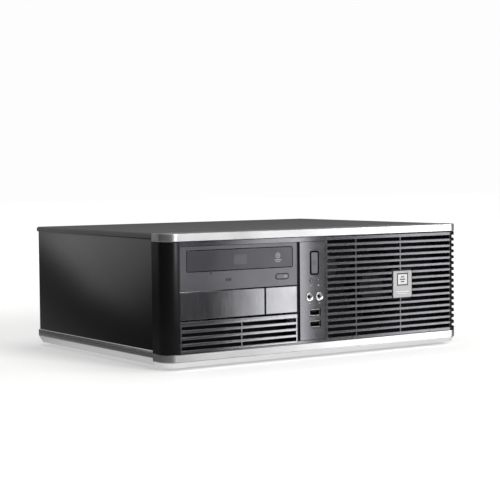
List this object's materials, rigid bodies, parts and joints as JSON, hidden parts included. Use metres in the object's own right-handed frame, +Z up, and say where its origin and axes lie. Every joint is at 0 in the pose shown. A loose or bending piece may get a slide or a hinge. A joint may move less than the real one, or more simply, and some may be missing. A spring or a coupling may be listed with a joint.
{
  "type": "desktop computer",
  "caption": "Low wide desktop computer case with louvred front, tray-loading disc drive, front ports, lift-off cover and fitted board, drives, fans and supply.",
  "frame": {"origin": "centre of the footprint, at the soles of the feet", "axes": "+Z up, the front face with the drive and buttons faces -Y, the louvred grille is towards +X"},
  "size_m": [0.4, 0.308, 0.1412],
  "materials": {
    "dark_bezel": "satin, fine brushed look, metallic paint",
    "silver_trim": "silver paint, satin",
    "case_black": "smooth black paint on sheet steel",
    "case_silver": "silver paint on sheet steel",
    "zinc_steel": "zinc-plated sheet steel",
    "port_metal": "nickel-plated shells",
    "black_plastic": "moulded black plastic",
    "lens": "translucent indicator lens",
    "rubber": "soft rubber",
    "board_green": "laminate with solder mask",
    "cast_alu": "cast and extruded aluminium",
    "switch_red": "red moulded plastic"
  },
  "bodies": {
    "case": {"trim_top": "silver_trim", "trim_bottom": "silver_trim", "badge": "silver_trim", "bezel_frame": "dark_bezel", "front_grille": "dark_bezel", "vent_panel": "dark_bezel", "bay_blank": "dark_bezel", "bay_filler": "dark_bezel", "control_panel": "dark_bezel", "power_led": "lens", "activity_led": "lens", "headphone_jack": "port_metal", "microphone_jack": "port_metal", "usb_port_upper": "port_metal", "usb_port_lower": "port_metal", "front_io_board": "board_green", "drive_bezel": "dark_bezel", "drive_case": "zinc_steel", "drive_cage": "zinc_steel", "hard_drive": "cast_alu", "base_skin": "case_silver", "chassis_pan": "case_black", "front_plate": "zinc_steel", "rear_panel": "zinc_steel", "foot_front_left": "rubber", "foot_front_right": "rubber", "foot_rear_left": "rubber", "foot_rear_right": "rubber", "intake_fan_frame": "black_plastic", "cpu_fan_frame": "black_plastic", "speaker": "black_plastic", "motherboard": "board_green", "heatsink": "cast_alu", "memory_module_a": "board_green", "memory_module_b": "board_green", "supply_case": "zinc_steel", "power_inlet": "black_plastic", "io_shield": "zinc_steel", "serial_port": "port_metal", "video_port": "port_metal", "lan_stack": "port_metal", "usb_stack": "port_metal", "audio_stack": "black_plastic", "slot_cover_inner": "zinc_steel", "slot_cover_outer": "zinc_steel", "supply_harness": "black_plastic"},
    "cover": {"top_cover": "case_silver", "thumbscrew_left": "zinc_steel", "thumbscrew_right": "zinc_steel"},
    "tray": {"disc_tray": "black_plastic", "tray_door": "dark_bezel"},
    "eject": {"eject_button": "dark_bezel"},
    "power": {"power_button": "dark_bezel"},
    "intake_rotor": {"intake_fan_rotor": "black_plastic"},
    "cpu_rotor": {"cpu_fan_rotor": "black_plastic"},
    "supply_rotor": {"supply_fan_rotor": "black_plastic"},
    "spindle": {"disc_spindle": "zinc_steel"},
    "sled": {"laser_sled": "black_plastic"},
    "range_switch": {"voltage_switch": "switch_red"},
    "lock": {"slot_lock": "black_plastic"}
  },
  "joints": [
    {"name": "cover_lift", "type": "slide", "parent": "case", "child": "cover", "axis": [0, 0, 1], "range_m": [0, 0.15]},
    {"name": "tray_slide", "type": "slide", "parent": "case", "child": "tray", "axis": [0, -1, 0], "range_m": [0, 0.135]},
    {"name": "eject_press", "type": "slide", "parent": "case", "child": "eject", "axis": [0, 1, 0], "range_m": [0, 0.0012], "stiffness_N_per_m": 300, "springref_m": -0.001},
    {"name": "power_press", "type": "slide", "parent": "case", "child": "power", "axis": [0, 1, 0], "range_m": [0, 0.002], "stiffness_N_per_m": 300, "springref_m": -0.001},
    {"name": "intake_fan_spin", "type": "hinge", "parent": "case", "child": "intake_rotor", "pos_m": [0.096, -0.109, 0.071], "axis": [0, -1, 0], "continuous": true},
    {"name": "cpu_fan_spin", "type": "hinge", "parent": "case", "child": "cpu_rotor", "pos_m": [0.05, -0.003, 0.0715], "axis": [0, 0, 1], "continuous": true},
    {"name": "supply_fan_spin", "type": "hinge", "parent": "case", "child": "supply_rotor", "pos_m": [-0.15, 0.137, 0.055], "axis": [0, -1, 0], "continuous": true},
    {"name": "spindle_spin", "type": "hinge", "parent": "case", "child": "spindle", "pos_m": [-0.108, -0.078, 0.101], "axis": [0, 0, 1], "continuous": true},
    {"name": "sled_slide", "type": "slide", "parent": "case", "child": "sled", "axis": [0, 1, 0], "range_m": [0, 0.036]},
    {"name": "range_switch_slide", "type": "slide", "parent": "case", "child": "range_switch", "axis": [1, 0, 0], "range_m": [0, 0.008]},
    {"name": "slot_lock_hinge", "type": "hinge", "parent": "case", "child": "lock", "pos_m": [0.189, 0.1513, 0.118], "axis": [0, 0, -1], "range_deg": [0, 100]}
  ]
}
